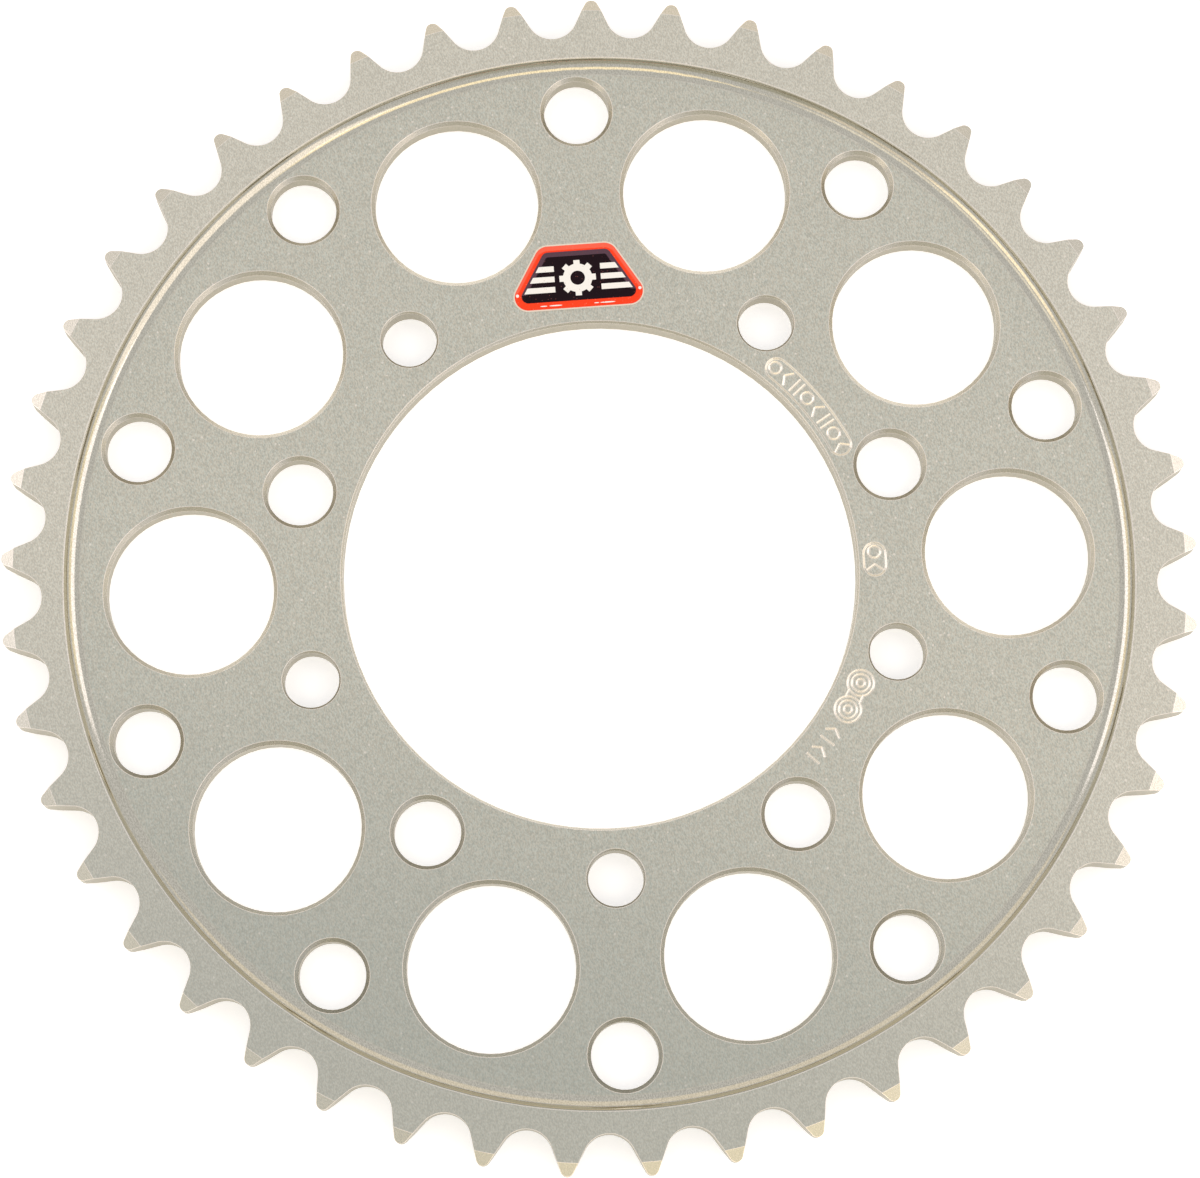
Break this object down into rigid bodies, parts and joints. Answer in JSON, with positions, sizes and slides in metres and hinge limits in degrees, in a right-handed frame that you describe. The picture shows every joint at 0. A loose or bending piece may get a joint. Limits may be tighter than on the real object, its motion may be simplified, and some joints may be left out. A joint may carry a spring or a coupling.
{
  "type": "rear sprocket",
  "caption": "Rear chain sprocket for a motorcycle: a flat aluminium ring with teeth, a hub bore, a bolt circle and rings of lightening holes, with a small printed label.",
  "frame": {"origin": "centre of the hub bore, on the flat back face that seats on the hub's carrier", "axes": "+Z is the wheel axis and points out of the wheel, from the back face to the recessed outer face; +Y points at the label; a tooth crest and a large lightening hole lie on +X"},
  "size_m": [0.2335, 0.2336, 0.0072],
  "materials": {
    "anodised_plate": "fine machined lines under matte silver anodising",
    "label_film": "gloss vinyl",
    "label_red": "gloss vinyl",
    "label_black": "gloss vinyl",
    "label_white": "gloss vinyl"
  },
  "bodies": {
    "root": {"sprocket": "anodised_plate", "label_film": "label_film", "label_border": "label_red", "label_ground": "label_black", "label_emblem": "label_white"}
  },
  "joints": []
}
